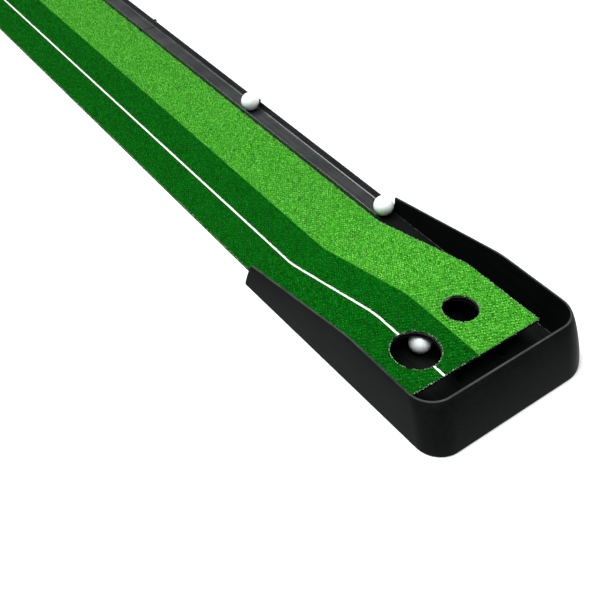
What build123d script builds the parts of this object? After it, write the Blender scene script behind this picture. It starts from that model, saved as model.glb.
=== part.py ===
"""Practice putting mat with a raised two-hole end and a gravity ball return.

Frame: +X runs from the player's end towards the holes, +Y points at the return channel,
+Z is up. The origin is the middle of the overall footprint, on the floor. Millimetres.
"""

from math import atan, sqrt, tan
import os

from build123d import *

os.makedirs("parts", exist_ok=True)

# ---------------------------------------------------------------- driving dimensions

# Golf ball
ball_diameter = 42.67
ball_running_gap = 0.25  # air under a ball, so that it rolls without rubbing

# Turf
turf_width = 300.0
fast_lane_width = 156.0  # the lane with the aim line, on the player's right
backing_thickness = 1.5
fast_pile_height = 4.0
slow_pile_height = 4.6
aim_line_width = 6.0
aim_line_from_edge = 78.0  # centre of the line, from the fast lane's outer edge

# Raised end
deck_over_ball = 21.33  # height of the deck's top over a ball's diameter
deck_thickness = 3.0
deck_lip_height = 0.6  # thickness left at the feathered front lip
deck_length = 180.0  # level stretch
ramp_run = 250.0
ramp_bend_radius = 150.0
ramp_lip_run = 10.0  # tray in front of the ramp's foot
deck_side_gap = 0.3
deck_rib_depth = 8.0
deck_rib_thickness = 2.0

# Cups
large_hole_diameter = 88.0
small_hole_diameter = 66.0
large_hole_from_end = 71.0
small_hole_from_end = 100.0
small_hole_from_edge = 92.0  # centre, from the slow lane's outer edge
collar_thickness = 2.5
collar_depth = 5.0
turf_hole_gap = 1.0  # the turf is cut this much larger than the collar

# Tray
rim_over_deck = 26.0
rim_front_height = 38.5
rim_width = 4.5
rim_rise_run = 292.0  # the rim climbs over this length, then stays level
rim_bend_radius = 250.0
rim_round = 1.6
wall_end_round = 1.8
rim_corner_radius = 45.0  # inside, in plan
base_left_radius = 48.0  # outside, in plan, at the floor, on the closed side
base_right_radius = 72.0
trough_width = 48.5  # behind the deck
edge_margin = 6.5  # deck left bare beside the turf, on the closed side
back_flare = 41.8
left_flare = 8.1
right_flare = 10.3
skirt_fullness = 1.3  # 1 is a straight flare, and more is a rounder one
skirt_levels = (0.0, 0.06, 0.15, 0.28, 0.42, 0.56, 0.70, 0.82, 0.92, 1.0)  # of the rim's height
tray_floor_gap = 1.0  # the tray's edge stands this high on its feet
pan_thickness = 2.5
pan_slope_across = 0.030  # falls towards the gutter
pan_slope_along = 0.012  # falls towards the outlet
guide_rib_thickness = 3.0
shelf_width = 5.0
left_front_flare = 7.2  # the closed side's skirt spreads this much more at the front
skirt_wall = 3.0
skirt_roof = 16.0  # left solid under the rim's top
skirt_hollow_top = 2.0  # width of the hollow at its narrow top
pocket_pitch = 46.0
pocket_size = 40.0
pocket_corner_radius = 4.0

# Return channel
channel_wall = 1.8
channel_floor = 2.5
channel_inner_height = 15.0  # top of the wall beside the turf
channel_outer_height = 20.0
channel_corner_radius = 4.0
ball_side_gap = 0.87
track_gap = 1.0  # between turf and channel
segment_pitch = 500.0
segment_count = 5
segment_joint_gap = 0.6
lap_length = 12.0
lap_gap = 0.06
wall_top_round = 0.7
clip_length = 9.0
clip_rise = 2.0
clip_thickness = 3.0
clip_base_height = 7.5  # over the turf's edge
end_stop_wall = 3.0
end_stop_plug = 14.0
end_stop_plug_height = 12.0
end_stop_height = 24.0

# Fixings
boss_diameter = 10.0
boss_from_end = (12.0, 158.0)
boss_from_axis = (-125.0, -20.0, 85.0)
screw_diameter = 3.0
screw_hole_gap = 0.4
screw_bite_gap = 0.05
screw_length = 12.0
screw_seat_gap = 0.15  # the head bears on the sloping pan at one side
screw_head_diameter = 7.0
screw_head_height = 2.2
strip_width = 22.0
strip_thickness = 0.8
strip_from_end = (14.0, 144.0)
strip_end_margin = 12.0
foot_diameter = 12.0
foot_thickness = 2.0
foot_from_front = 16.0
back_foot_from_wall = 15.0
back_foot_from_gutter = 11.25

# Where the three balls lie
first_ball_past_joint = 3.0  # upstream of the last joint in the channel
second_ball_from_outlet = 7.0
third_ball_from_end = 105.0
third_ball_from_axis = -28.0

# Modelling allowances
weld = 1.0  # two solids that join run into each other by this much
near = 1.0  # an edge or corner within this distance of a plane is on it
facing_up = 0.9  # least rise of a face's normal that counts as the rim's top
cut_lead = 100.0  # a cutting outline starts this far before the solid

# ---------------------------------------------------------------- heights that follow

deck_height = ball_diameter + deck_over_ball  # top of the deck moulding
rim_height = deck_height + rim_over_deck
skirt_hollow_height = rim_height - skirt_roof

# ---------------------------------------------------------------- layout along X

track_length = segment_pitch * segment_count
tray_length = ramp_lip_run + ramp_run + deck_length + trough_width + rim_width + back_flare
overall_length = end_stop_wall + track_length + tray_length
x_back = overall_length / 2
x_front = -overall_length / 2
x_track_start = x_front + end_stop_wall
x_outlet = x_track_start + track_length  # tray begins, channel ends
x_foot = x_outlet + ramp_lip_run
x_crest = x_foot + ramp_run
x_deck_end = x_crest + deck_length
x_rim_inside = x_deck_end + trough_width
x_rim_outside = x_rim_inside + rim_width
x_bosses = [x_deck_end - distance for distance in boss_from_end]
x_guide_rib = x_deck_end - max(boss_from_end) - boss_diameter - guide_rib_thickness

# ---------------------------------------------------------------- layout along Y

channel_width = ball_diameter + 2 * ball_side_gap
left_reach = turf_width / 2 + edge_margin + rim_width + left_flare + left_front_flare
right_reach = turf_width / 2 + track_gap + channel_wall + channel_width + rim_width + right_flare
y_axis = (left_reach - right_reach) / 2  # middle of the turf
y_turf_left = y_axis - turf_width / 2
y_turf_right = y_axis + turf_width / 2
y_lane_split = y_turf_left + fast_lane_width
y_aim_line = y_turf_left + aim_line_from_edge
y_wall_left = y_turf_left - edge_margin  # inner face of the closed side's wall
y_rim_left = y_wall_left - rim_width
y_base_left = y_rim_left - left_flare
y_front_left = y_base_left - left_front_flare
y_gutter_inside = y_turf_right + track_gap + channel_wall
y_gutter_outside = y_gutter_inside + channel_width
y_gutter_middle = (y_gutter_inside + y_gutter_outside) / 2
y_rim_right = y_gutter_outside + rim_width
y_base_right = y_rim_right + right_flare
y_small_hole = y_turf_right - small_hole_from_edge
y_bosses = [y_axis + distance for distance in boss_from_axis]
y_line_low = y_aim_line - aim_line_width / 2
y_line_high = y_aim_line + aim_line_width / 2

# ---------------------------------------------------------------- heights and planes

ramp_angle = atan(deck_height / ramp_run)
tall = 2 * rim_height  # taller than anything, for cutting through
pan_plane = Plane(
    origin=(x_guide_rib, y_gutter_outside, channel_floor),
    z_dir=(-pan_slope_along, pan_slope_across, 1),
)
fast_top = backing_thickness + fast_pile_height
slow_top = backing_thickness + slow_pile_height
rim_slope = (rim_height - rim_front_height) / rim_rise_run

# ---------------------------------------------------------------- places of repeated features

holes = [
    (x_deck_end - large_hole_from_end, y_aim_line, large_hole_diameter),
    (x_deck_end - small_hole_from_end, y_small_hole, small_hole_diameter),
]
strip_places = [(x_deck_end - distance, y_axis) for distance in strip_from_end]
strip_length = turf_width - 2 * strip_end_margin
y_left_foot = (y_base_left + y_wall_left + shelf_width) / 2
y_right_foot = (y_base_right + y_gutter_outside) / 2
x_corner_foot = x_back - base_right_radius / 2
feet = [
    (x_outlet + foot_from_front, y_wall_left - foot_diameter / 2),
    (x_outlet + foot_from_front, y_right_foot),
    (x_guide_rib, y_left_foot),
    (x_guide_rib, y_right_foot),
    (x_corner_foot, y_wall_left + back_foot_from_wall),
    (x_corner_foot, y_gutter_outside - back_foot_from_gutter),
]


def pan_height(x: float, y: float) -> float:
    """Height of the sloping pan's upper face at a place."""
    along = pan_slope_along * (x - x_guide_rib)
    across = pan_slope_across * (y_gutter_outside - y)
    return channel_floor + along + across


def side_plane(y: float) -> Plane:
    """Upright plane across Y, whose sketches extrude towards -Y."""
    return Plane.XZ.offset(-y)


def ramp_line(height: float, x_start: float) -> Curve:
    """Line of the floor, ramp and deck, at a distance above the turf's underside."""
    shift = height * tan(ramp_angle / 2)
    return FilletPolyline(
        (x_start, height),
        (x_foot - shift, height),
        (x_crest - shift, deck_height + height),
        (x_deck_end, deck_height + height),
        radius=[ramp_bend_radius - height, ramp_bend_radius + height],
    )


def sheet_strip(low: float, high: float, y_low: float, y_high: float, hole_gap: float) -> Part:
    """Solid between two heights over the turf's underside, with the cup holes cut out."""
    with BuildPart(mode=Mode.PRIVATE) as strip:
        with BuildSketch(side_plane(y_high)):
            with BuildLine():
                lower = ramp_line(low, x_track_start)
                upper = ramp_line(high, x_track_start)
                Line(lower @ 0, upper @ 0)
                Line(lower @ 1, upper @ 1)
            make_face()
        extrude(amount=y_high - y_low)
        with BuildSketch():
            for x_hole, y_hole, diameter in holes:
                with Locations((x_hole, y_hole)):
                    Circle(diameter / 2 + hole_gap)
        extrude(amount=tall, mode=Mode.SUBTRACT)
    return strip.part


def under_deck(y_low: float, y_high: float, x_start: float, x_end: float) -> Part:
    """Solid that fills the space from the tray's edge up to the deck's underside."""
    with BuildPart(mode=Mode.PRIVATE) as web:
        with BuildSketch(side_plane(y_high)):
            with BuildLine():
                top = ramp_line(-deck_thickness, x_track_start)
                Polyline(top @ 0, (x_track_start, -tall), (x_deck_end, -tall), top @ 1)
            make_face()
            with Locations((x_start, 0)):
                Rectangle(x_end - x_start, 2 * tall, align=(Align.MIN, Align.CENTER), mode=Mode.INTERSECT)
        extrude(amount=y_high - y_low)
        split(bisect_by=Plane.XY.offset(tray_floor_gap), keep=Keep.TOP)
    return web.part


def plan_outline(
    x_start: float, x_end: float, y_left: float, y_right: float, corner: float
) -> Curve:
    """Three-sided outline in plan, open at the front, with two round back corners."""
    return FilletPolyline(
        (x_start, y_left),
        (x_end, y_left),
        (x_end, y_right),
        (x_start, y_right),
        radius=corner,
    )


# ---------------------------------------------------------------- ramp tray

rim_outer_corner = rim_corner_radius + rim_width
x_knee = x_outlet + rim_rise_run  # the rim is level from here on
x_hollow = x_rim_inside + skirt_wall
y_hollow_start = y_rim_left + base_right_radius
y_hollow_end = y_rim_right - base_right_radius
quarter_cos = sqrt(0.5)


def between(rim_value: float, base_value: float, spread: float) -> float:
    """A value that runs from the rim's to the base's as the skirt spreads from 0 to 1."""
    return rim_value + (base_value - rim_value) * spread


def skirt_spread(share: float) -> float:
    """How far the skirt has come from the rim's outline, 0, to the base's, 1."""
    return (1 - share**skirt_fullness) ** (1 / skirt_fullness)


def skirt_wire(share: float, z_front: float, z_back: float) -> Wire:
    """Closed outline of the skirt at a share of the rim's height."""
    spread = skirt_spread(share)
    x_end = between(x_rim_outside, x_back, spread)
    y_front = between(y_rim_left, y_front_left, spread)
    y_left = between(y_rim_left, y_base_left, spread)
    y_right = between(y_rim_right, y_base_right, spread)
    r_left = between(rim_outer_corner, base_left_radius, spread)
    r_right = between(rim_outer_corner, base_right_radius, spread)
    rise_share = (x_knee - x_outlet) / (x_end - r_left - x_outlet)
    y_knee = y_front + (y_left - y_front) * rise_share
    with BuildLine() as outline:
        Line((x_outlet, y_front, z_front), (x_knee, y_knee, z_back))
        Line((x_knee, y_knee, z_back), (x_end - r_left, y_left, z_back))
        ThreePointArc(
            (x_end - r_left, y_left, z_back),
            (x_end - r_left * (1 - quarter_cos), y_left + r_left * (1 - quarter_cos), z_back),
            (x_end, y_left + r_left, z_back),
        )
        Line((x_end, y_left + r_left, z_back), (x_end, y_right - r_right, z_back))
        ThreePointArc(
            (x_end, y_right - r_right, z_back),
            (x_end - r_right * (1 - quarter_cos), y_right - r_right * (1 - quarter_cos), z_back),
            (x_end - r_right, y_right, z_back),
        )
        Line((x_end - r_right, y_right, z_back), (x_knee, y_right, z_back))
        Line((x_knee, y_right, z_back), (x_outlet, y_right, z_front))
        Line((x_outlet, y_right, z_front), (x_outlet, y_front, z_front))
    return outline.wire()


def skirt_outlines() -> list[Wire]:
    """Outlines of the skirt from the tray's edge to the rim, and one level one above it."""
    outlines = []
    for share in skirt_levels:
        z_front = tray_floor_gap + (rim_front_height - tray_floor_gap) * share
        z_back = tray_floor_gap + (rim_height - tray_floor_gap) * share
        outlines.append(skirt_wire(share, z_front, z_back))
    outlines.append(skirt_wire(1.0, rim_height + weld, rim_height + weld))
    return outlines


with BuildPart() as ramp_tray:
    # Outer body: the skirt swells from the rim's outline down to the base's outline.
    add(Solid.make_loft(skirt_outlines(), ruled=False))

    # The rim climbs from the front and runs level round the back.
    with BuildSketch(side_plane(y_base_right)):
        with BuildLine():
            crown = FilletPolyline(
                (x_outlet - cut_lead, rim_front_height - cut_lead * rim_slope),
                (x_outlet + rim_rise_run, rim_height),
                (x_back + cut_lead, rim_height),
                radius=rim_bend_radius,
            )
            Polyline(crown @ 1, (x_back + cut_lead, tall), (x_outlet - cut_lead, tall), crown @ 0)
        make_face()
    extrude(amount=y_base_right - y_front_left, mode=Mode.SUBTRACT)

    # Inside: everything above the sloping pan.
    with BuildPart(mode=Mode.PRIVATE) as inside:
        with BuildSketch():
            with BuildLine():
                inner = plan_outline(
                    x_guide_rib, x_rim_inside, y_wall_left, y_gutter_outside, rim_corner_radius
                )
                Line(inner @ 1, inner @ 0)
            make_face()
        extrude(amount=tall)
        split(bisect_by=pan_plane, keep=Keep.TOP)
    add(inside.part, mode=Mode.SUBTRACT)

    # Inside, beside the ramp: the level gutter.
    with BuildSketch(Plane.XY.offset(channel_floor)):
        with Locations((x_outlet, y_gutter_outside)):
            Rectangle(x_guide_rib - x_outlet, channel_width, align=(Align.MIN, Align.MAX))
    extrude(amount=tall, mode=Mode.SUBTRACT)

    # Inside, under the ramp: open right through.
    with BuildSketch():
        with Locations((x_outlet, y_gutter_inside)):
            Rectangle(
                x_guide_rib - x_outlet, y_gutter_inside - y_wall_left, align=(Align.MIN, Align.MAX)
            )
    extrude(amount=tall, mode=Mode.SUBTRACT)

    # Rounded front ends of the two side walls, then the rounded top edges of the rim.
    front_edges = ramp_tray.edges().filter_by(
        lambda edge: abs(edge.center().X - x_outlet) < near
        and edge.length > rim_front_height / 2
        and (edge.center().Y < y_wall_left + near or edge.center().Y > y_gutter_outside - near)
    )
    fillet(front_edges, wall_end_round)
    rim_faces = ramp_tray.faces().filter_by(
        lambda face: face.center().Z > rim_front_height and face.normal_at().Z > facing_up
    )
    rim_edges = rim_faces.edges()
    long_edges = [edge for edge in rim_edges if sum(edge.is_same(other) for other in rim_edges) == 1]
    fillet(long_edges, rim_round)

    # Left shelf, gutter wall and guide rib carry the deck.
    add(under_deck(y_wall_left - weld, y_wall_left + shelf_width, x_foot, x_deck_end))
    add(under_deck(y_gutter_inside - channel_wall - track_gap, y_gutter_inside, x_outlet, x_guide_rib))
    add(under_deck(y_wall_left - weld, y_gutter_inside, x_guide_rib - guide_rib_thickness, x_guide_rib))

    # Hollow behind the back skirt, one wall thickness inside it.
    skirt_curve = []
    for share in skirt_levels:
        x_skin = between(x_rim_outside, x_back, skirt_spread(share))
        z_skin = min(rim_height * share, skirt_hollow_height)
        skirt_curve.append((max(x_skin - skirt_wall, x_hollow + skirt_hollow_top), z_skin))
    with BuildSketch(side_plane(y_hollow_end)):
        with BuildLine():
            Polyline((x_hollow, 0), *skirt_curve, (x_hollow, skirt_hollow_height), close=True)
        make_face()
    extrude(amount=y_hollow_end - y_hollow_start, mode=Mode.SUBTRACT)

    # Pockets under the pan leave a grid of ribs.
    with BuildPart(mode=Mode.PRIVATE) as pockets:
        pocket_rows = int((y_gutter_inside - y_wall_left) // pocket_pitch)
        pocket_columns = int((x_rim_inside - x_guide_rib) // pocket_pitch)
        pocket_middle = ((x_guide_rib + x_rim_inside) / 2, (y_wall_left + y_gutter_inside) / 2)
        with BuildSketch():
            with Locations(pocket_middle):
                with GridLocations(pocket_pitch, pocket_pitch, pocket_columns, pocket_rows):
                    RectangleRounded(pocket_size, pocket_size, pocket_corner_radius)
        extrude(amount=tall)
        split(bisect_by=pan_plane.offset(-pan_thickness), keep=Keep.BOTTOM)
    add(pockets.part, mode=Mode.SUBTRACT)

    # Screw holes through the pan.
    with BuildSketch():
        for x_boss in x_bosses:
            for y_boss in y_bosses:
                with Locations((x_boss, y_boss)):
                    Circle(screw_diameter / 2 + screw_hole_gap)
    extrude(amount=rim_front_height, mode=Mode.SUBTRACT)
    for x_boss in x_bosses:
        for y_boss in y_bosses:
            with BuildSketch():
                with Locations((x_boss, y_boss)):
                    Circle(screw_head_diameter / 2 + screw_hole_gap)
            extrude(amount=pan_height(x_boss, y_boss) - pan_thickness, mode=Mode.SUBTRACT)

    # Sockets for the feet.
    with BuildSketch(Plane.XY.offset(tray_floor_gap)):
        with Locations(*feet):
            Circle(foot_diameter / 2)
    extrude(amount=foot_thickness - tray_floor_gap, mode=Mode.SUBTRACT)

ramp_tray.part.label = "ramp_tray"
export_step(ramp_tray.part, "parts/ramp_tray.step")

# ---------------------------------------------------------------- ramp deck

deck_rib_start = y_wall_left + shelf_width + deck_side_gap
deck_rib_length = y_gutter_inside - deck_rib_start

with BuildPart() as ramp_deck:
    # Sheet that follows the ramp, with a feathered front lip.
    add(sheet_strip(-deck_thickness, 0, y_wall_left + deck_side_gap, y_gutter_inside, 0))
    split(bisect_by=Plane.XY.offset(deck_lip_height), keep=Keep.TOP)

    # Collars turned down round the cups.
    with BuildSketch(Plane.XY.offset(deck_height - deck_thickness)):
        for x_hole, y_hole, diameter in holes:
            with Locations((x_hole, y_hole)):
                Circle(diameter / 2 + collar_thickness)
                Circle(diameter / 2, mode=Mode.SUBTRACT)
    extrude(amount=-collar_depth)

    # Ribs across the underside, and bosses that stand on the pan.
    with BuildSketch(Plane.XY.offset(deck_height - deck_thickness)):
        for x_boss in x_bosses:
            with Locations((x_boss, y_wall_left + shelf_width + deck_side_gap)):
                Rectangle(deck_rib_thickness, deck_rib_length, align=(Align.CENTER, Align.MIN))
    extrude(amount=-deck_rib_depth)
    with BuildPart(mode=Mode.PRIVATE) as bosses:
        with BuildSketch():
            for x_boss in x_bosses:
                for y_boss in y_bosses:
                    with Locations((x_boss, y_boss)):
                        Circle(boss_diameter / 2)
        extrude(amount=deck_height - deck_thickness)
        split(bisect_by=pan_plane, keep=Keep.TOP)
    add(bosses.part)

    # Screw bores up the bosses.
    for x_boss in x_bosses:
        for y_boss in y_bosses:
            with BuildSketch(Plane.XY):
                with Locations((x_boss, y_boss)):
                    Circle(screw_diameter / 2 + screw_bite_gap)
            extrude(amount=pan_height(x_boss, y_boss) + screw_length, mode=Mode.SUBTRACT)

    # Shallow beds for the adhesive strips.
    with BuildSketch(Plane.XY.offset(deck_height)):
        with Locations(*strip_places):
            Rectangle(strip_width, strip_length)
    extrude(amount=-strip_thickness, mode=Mode.SUBTRACT)

ramp_deck.part.label = "ramp_deck"
export_step(ramp_deck.part, "parts/ramp_deck.step")

# ---------------------------------------------------------------- fixings

with BuildPart() as deck_screws:
    for x_boss in x_bosses:
        for y_boss in y_bosses:
            seat = pan_height(x_boss, y_boss) - pan_thickness - screw_seat_gap
            with BuildSketch(Plane.XY.offset(seat)):
                with Locations((x_boss, y_boss)):
                    Circle(screw_head_diameter / 2)
            extrude(amount=-screw_head_height)
            with BuildSketch(Plane.XY.offset(seat)):
                with Locations((x_boss, y_boss)):
                    Circle(screw_diameter / 2)
            extrude(amount=screw_length)

deck_screws.part.label = "deck_screws"
export_step(deck_screws.part, "parts/deck_screws.step")

with BuildPart() as rubber_feet:
    with BuildSketch():
        with Locations(*feet):
            Circle(foot_diameter / 2)
    extrude(amount=foot_thickness)

rubber_feet.part.label = "rubber_feet"
export_step(rubber_feet.part, "parts/rubber_feet.step")

with BuildPart() as turf_fixing_strips:
    with BuildSketch(Plane.XY.offset(deck_height)):
        with Locations(*strip_places):
            Rectangle(strip_width, strip_length)
    extrude(amount=-strip_thickness)

turf_fixing_strips.part.label = "turf_fixing_strips"
export_step(turf_fixing_strips.part, "parts/turf_fixing_strips.step")

# ---------------------------------------------------------------- turf

with BuildPart() as turf_backing:
    add(sheet_strip(0, backing_thickness, y_turf_left, y_turf_right, turf_hole_gap))

turf_backing.part.label = "turf_backing"
export_step(turf_backing.part, "parts/turf_backing.step")

with BuildPart() as fast_lane_pile:
    add(sheet_strip(backing_thickness, fast_top, y_turf_left, y_line_low, turf_hole_gap))
    add(sheet_strip(backing_thickness, fast_top, y_line_high, y_lane_split, turf_hole_gap))

fast_lane_pile.part.label = "fast_lane_pile"
export_step(fast_lane_pile.part, "parts/fast_lane_pile.step")

with BuildPart() as aim_line:
    add(sheet_strip(backing_thickness, fast_top, y_line_low, y_line_high, turf_hole_gap))

aim_line.part.label = "aim_line"
export_step(aim_line.part, "parts/aim_line.step")

with BuildPart() as slow_lane_pile:
    add(sheet_strip(backing_thickness, slow_top, y_lane_split, y_turf_right, turf_hole_gap))

slow_lane_pile.part.label = "slow_lane_pile"
export_step(slow_lane_pile.part, "parts/slow_lane_pile.step")

# ---------------------------------------------------------------- return channel

lap_depth = channel_wall / 2
y_channel_low = y_gutter_inside - channel_wall
y_channel_high = y_gutter_outside + channel_wall


def cross_plane(x: float) -> Plane:
    """Upright plane across X at the channel's middle, whose sketches extrude towards +X."""
    return Plane(origin=(x, y_gutter_middle, 0), x_dir=(0, 1, 0), z_dir=(1, 0, 0))


def channel_hollow(grow: float) -> Sketch:
    """Hollow of the channel's cross-section, grown outwards by an amount."""
    with BuildSketch(mode=Mode.PRIVATE) as hollow:
        with Locations((0, channel_floor - grow)):
            Rectangle(channel_width + 2 * grow, tall, align=(Align.CENTER, Align.MIN))
        fillet(hollow.vertices().group_by(Axis.Y)[0], channel_corner_radius + grow)
    return hollow.sketch


def channel_profile() -> Sketch:
    """Cross-section of the channel: a low wall beside the turf and a higher outer wall."""
    half = channel_width / 2 + channel_wall
    with BuildSketch(mode=Mode.PRIVATE) as profile:
        Rectangle(2 * half, channel_inner_height, align=(Align.CENTER, Align.MIN))
        with Locations((half, 0)):
            Rectangle(half, channel_outer_height, align=(Align.MAX, Align.MIN))
        add(channel_hollow(0), mode=Mode.SUBTRACT)
        tops = profile.vertices().filter_by(lambda vertex: vertex.Y > channel_inner_height - near)
        fillet(tops, wall_top_round)
    return profile.sketch


for number in range(1, segment_count + 1):
    x_low = x_track_start + (number - 1) * segment_pitch
    x_high = x_low + segment_pitch - segment_joint_gap
    first = number == 1
    last = number == segment_count
    x_full = x_low if first else x_low + lap_length
    with BuildPart() as segment:
        with BuildSketch(cross_plane(x_full)):
            add(channel_profile())
        extrude(amount=x_high - x_full)

        # Inner half of the lap, which the segment before it surrounds.
        if not first:
            with BuildSketch(cross_plane(x_low)):
                add(channel_profile())
                add(channel_hollow(lap_depth - lap_gap / 2), mode=Mode.INTERSECT)
            extrude(amount=lap_length)

        # Outer half of the lap, with a clip on each wall.
        if not last:
            with BuildSketch(cross_plane(x_high)):
                add(channel_profile())
                add(channel_hollow(lap_depth + lap_gap / 2), mode=Mode.SUBTRACT)
            extrude(amount=lap_length)
            for y_side, height, side in [
                (y_channel_low, channel_inner_height, Align.MAX),
                (y_channel_high, channel_outer_height, Align.MIN),
            ]:
                with BuildSketch(Plane.XY.offset(clip_base_height)):
                    with Locations((x_high, y_side)):
                        Rectangle(clip_length, clip_thickness, align=(Align.CENTER, side))
                extrude(amount=height + clip_rise - clip_base_height)
    segment.part.label = f"track_segment_{number}"
    export_step(segment.part, f"parts/track_segment_{number}.step")

with BuildPart() as track_end_stop:
    with BuildSketch(cross_plane(x_front)) as stop_plate:
        Rectangle(y_channel_high - y_channel_low, end_stop_height, align=(Align.CENTER, Align.MIN))
        fillet(stop_plate.vertices().group_by(Axis.Y)[-1], channel_corner_radius)
    extrude(amount=end_stop_wall)
    with BuildSketch(cross_plane(x_track_start)):
        Rectangle(
            channel_width, channel_floor + end_stop_plug_height, align=(Align.CENTER, Align.MIN)
        )
        add(channel_hollow(-lap_gap), mode=Mode.INTERSECT)
    extrude(amount=end_stop_plug)

track_end_stop.part.label = "track_end_stop"
export_step(track_end_stop.part, "parts/track_end_stop.step")

# ---------------------------------------------------------------- golf balls

ball_radius = ball_diameter / 2
rolling_height = channel_floor + ball_running_gap + ball_radius
x_third_ball = x_deck_end - third_ball_from_end
y_third_ball = y_axis + third_ball_from_axis
pan_tilt = sqrt(1 + pan_slope_across**2 + pan_slope_along**2)
third_rise = (ball_radius + ball_running_gap) * pan_tilt
balls = [
    (x_outlet - segment_pitch - first_ball_past_joint, y_gutter_middle, rolling_height),
    (x_outlet - second_ball_from_outlet, y_gutter_middle, rolling_height),
    (x_third_ball, y_third_ball, pan_height(x_third_ball, y_third_ball) + third_rise),
]

for number, (x_ball, y_ball, z_ball) in enumerate(balls, start=1):
    with BuildPart(Plane(origin=(x_ball, y_ball, z_ball))) as ball:
        Sphere(ball_diameter / 2)
    ball.part.label = f"golf_ball_{number}"
    export_step(ball.part, f"parts/golf_ball_{number}.step")
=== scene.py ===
"""Looks of a practice putting mat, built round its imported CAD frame.

Metres. +X runs from the player's end towards the holes, +Y points at the ball-return
channel and +Z is up, as in the CAD frame.
"""

import logging
import math
from dataclasses import dataclass, field
from enum import Enum

import bmesh
import bpy
import numpy as np
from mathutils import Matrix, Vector


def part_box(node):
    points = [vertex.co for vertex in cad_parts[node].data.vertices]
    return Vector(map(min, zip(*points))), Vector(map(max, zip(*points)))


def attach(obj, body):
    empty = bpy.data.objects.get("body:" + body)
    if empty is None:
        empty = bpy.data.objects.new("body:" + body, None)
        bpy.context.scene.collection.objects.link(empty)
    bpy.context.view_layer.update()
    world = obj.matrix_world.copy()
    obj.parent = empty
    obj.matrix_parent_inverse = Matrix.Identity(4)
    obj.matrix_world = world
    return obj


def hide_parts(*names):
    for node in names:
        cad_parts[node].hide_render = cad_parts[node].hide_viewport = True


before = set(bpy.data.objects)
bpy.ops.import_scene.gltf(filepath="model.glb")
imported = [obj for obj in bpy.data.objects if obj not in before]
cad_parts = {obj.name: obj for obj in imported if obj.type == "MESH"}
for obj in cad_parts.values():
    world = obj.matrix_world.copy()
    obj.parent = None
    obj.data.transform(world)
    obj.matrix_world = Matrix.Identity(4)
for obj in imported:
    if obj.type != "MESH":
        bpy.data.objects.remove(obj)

log = logging.getLogger("putting_mat")

Colour = tuple[float, float, float]
Socket = bpy.types.NodeSocket
LAMP_DISTANCE = 4.0  # a sun lamp lights alike from anywhere, so this only places its marker


class Body(Enum):
    """Bodies of the frame that pieces ride on."""

    MAT = "mat"
    FRONT_BALL = "channel_ball_front"
    OUTLET_BALL = "channel_ball_outlet"
    CUP_BALL = "cup_ball"


class Slot(Enum):
    """Material slots of the record."""

    TRAY = "tray_plastic"
    CHANNEL = "channel_plastic"
    SCREW = "screw_steel"
    FOOT = "foot_rubber"
    FILM = "adhesive_film"
    LATEX = "turf_latex"
    FAST = "fast_turf"
    SLOW = "slow_turf"
    WHITE = "white_yarn"
    COVER = "ball_cover"


def opaque(colour: Colour) -> tuple[float, float, float, float]:
    """A linear colour with full opacity."""
    return (*colour, 1.0)


# ---------------------------------------------------------------- node trees


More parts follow.
